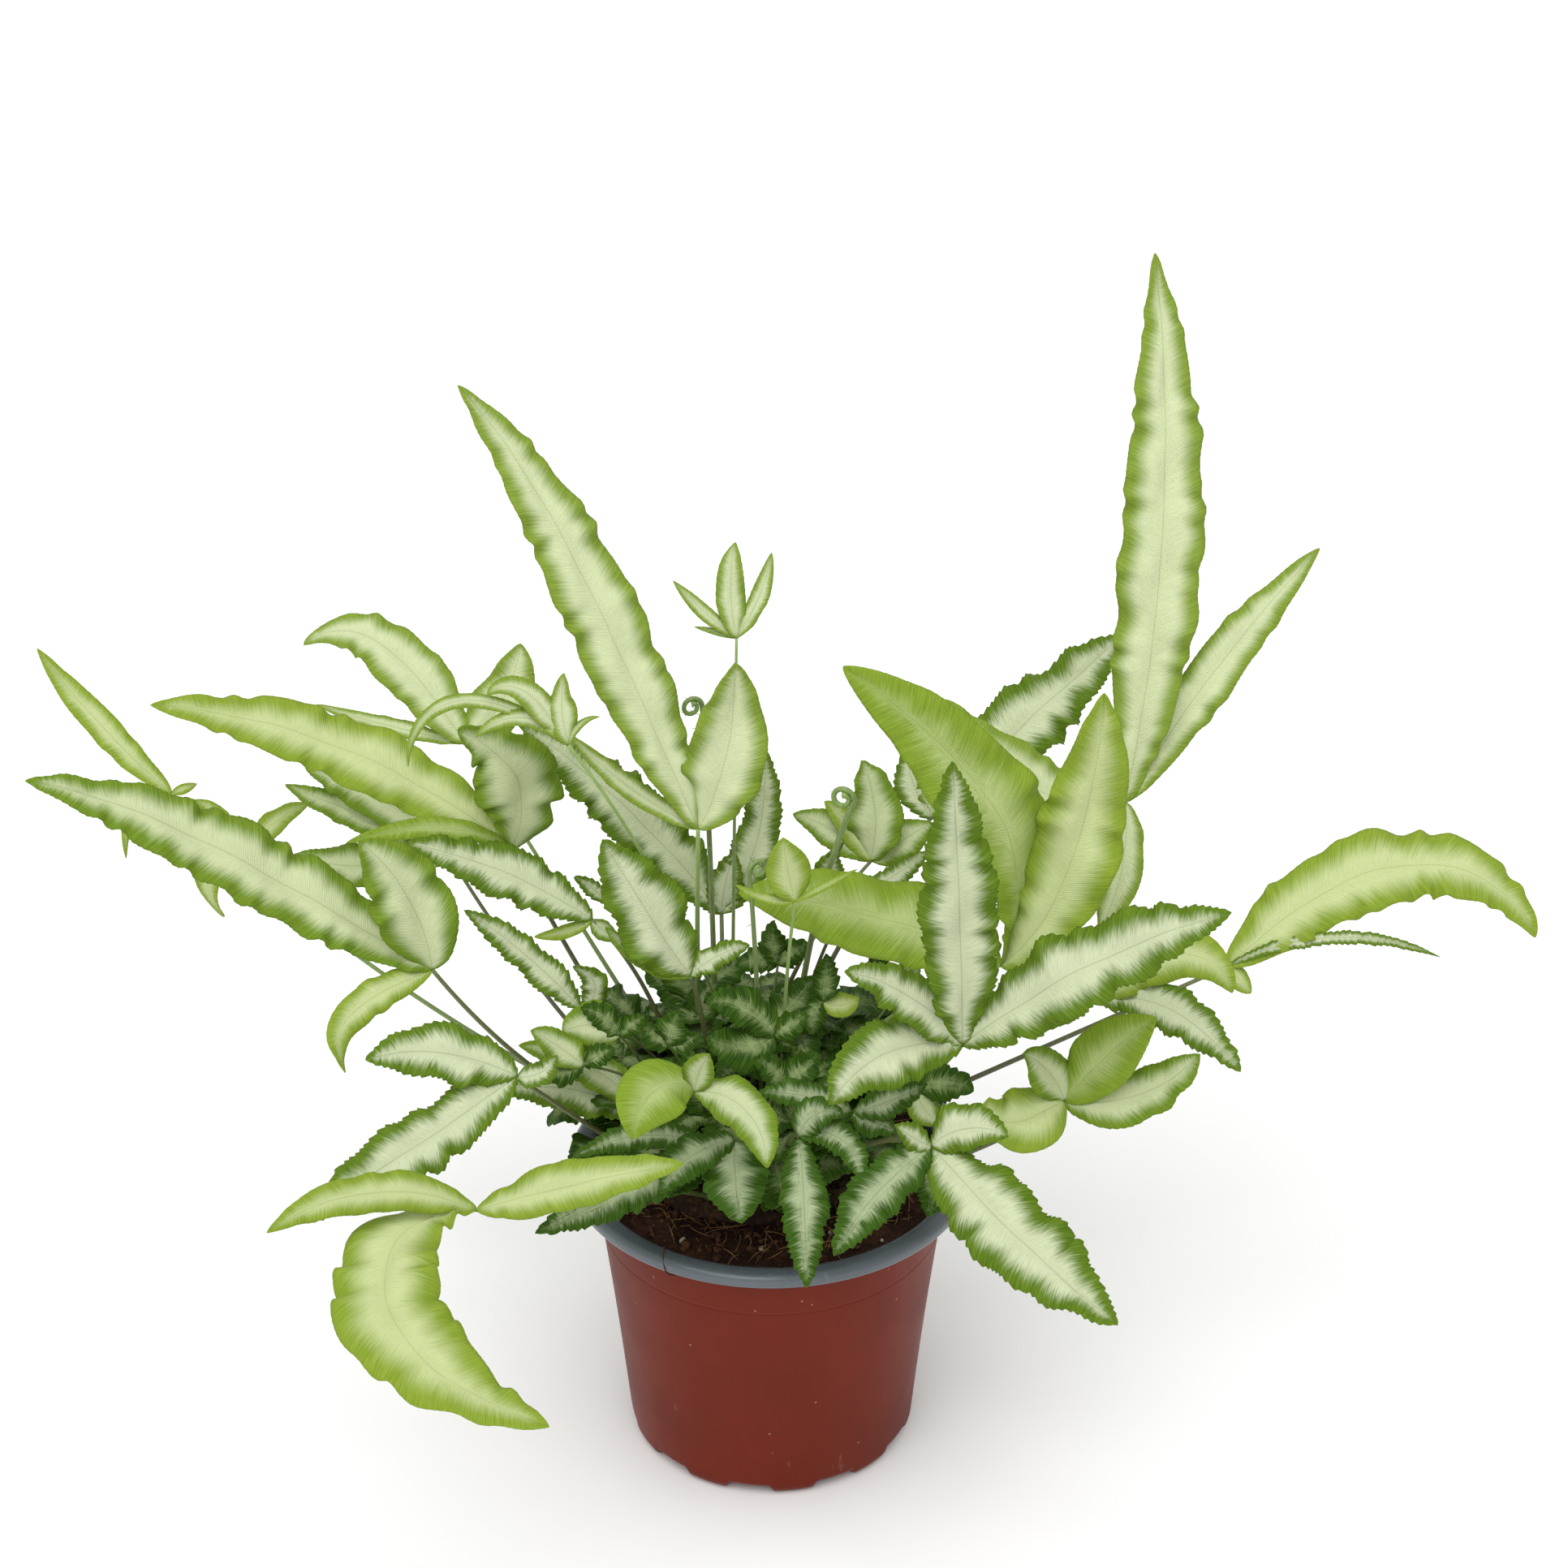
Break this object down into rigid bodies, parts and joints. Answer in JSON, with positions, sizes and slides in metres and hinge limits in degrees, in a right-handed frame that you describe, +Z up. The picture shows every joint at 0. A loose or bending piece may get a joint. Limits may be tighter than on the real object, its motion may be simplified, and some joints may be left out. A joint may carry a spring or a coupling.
{
  "type": "potted ribbon fern",
  "caption": "Variegated ribbon fern with arching, pale-banded fronds, growing in a tapered two-tone plastic nursery pot with a rolled rim.",
  "frame": {"origin": "where the pot's axis meets the ground it stands on", "axes": "+Z up along the pot's axis, +X to the right and -Y to the front as the plant is shown"},
  "size_m": [0.4494, 0.2839, 0.3329],
  "materials": {
    "pot_plastic": "moulded polypropylene, terracotta brown outside, blue-grey inside and on the rolled lip",
    "mix": "coir and peat mix with loose fibres and perlite grains",
    "rhizome": "scaly short rhizome with old stipe stubs",
    "leaf_young": "young pinnae, lime green with a pale centre band",
    "leaf_mature": "full-grown pinnae, mid green margin with a silver-white centre band",
    "leaf_dark": "old pinnae, deep green toothed margin with a white centre band",
    "crozier": "coiled young frond, olive green"
  },
  "bodies": {
    "root": {"pot": "pot_plastic", "potting_mix": "mix", "crown": "rhizome", "frond_tall_left": "leaf_mature", "frond_young_top": "leaf_young", "frond_long_dark": "leaf_dark", "frond_young_left": "leaf_young", "frond_back_left_upper": "leaf_young", "frond_left_upper_long": "leaf_mature", "frond_left_behind": "leaf_mature", "frond_left_mid": "leaf_mature", "frond_far_left": "leaf_young", "frond_left_low_dark": "leaf_dark", "frond_front_left": "leaf_young", "frond_left_front_dark": "leaf_dark", "frond_mid_left_wavy": "leaf_dark", "frond_lower_left_twist": "leaf_dark", "frond_centre_left": "leaf_dark", "frond_small_left_back": "leaf_dark", "frond_young_centre": "leaf_young", "frond_centre_right_dark": "leaf_dark", "frond_centre_right_lime": "leaf_young", "frond_tall_right": "leaf_young", "frond_back_right_dark": "leaf_dark", "frond_centre_back": "leaf_mature", "frond_centre_back_small": "leaf_dark", "frond_far_right": "leaf_young", "frond_right_mid": "leaf_young", "frond_right_low": "leaf_young", "frond_front_right": "leaf_dark", "frond_front_centre_droop": "leaf_dark", "frond_front_centre_arch": "leaf_mature", "frond_front_shade": "leaf_dark", "frond_front_small_right": "leaf_dark", "frond_left_front_wavy": "leaf_dark", "small_left_serrated": "leaf_mature", "small_left_low": "leaf_mature", "small_trefoil": "leaf_dark", "small_centre_broad": "leaf_dark", "small_centre_back": "leaf_dark", "small_centre_right": "leaf_dark", "small_right_back": "leaf_dark", "small_right_under": "leaf_dark", "small_front_right_rim": "leaf_dark", "small_centre_front": "leaf_dark", "small_left_inner": "leaf_dark", "small_right_behind": "leaf_dark", "fiddlehead_left": "crozier", "fiddlehead_centre": "crozier", "fiddlehead_young": "crozier"}
  },
  "joints": []
}
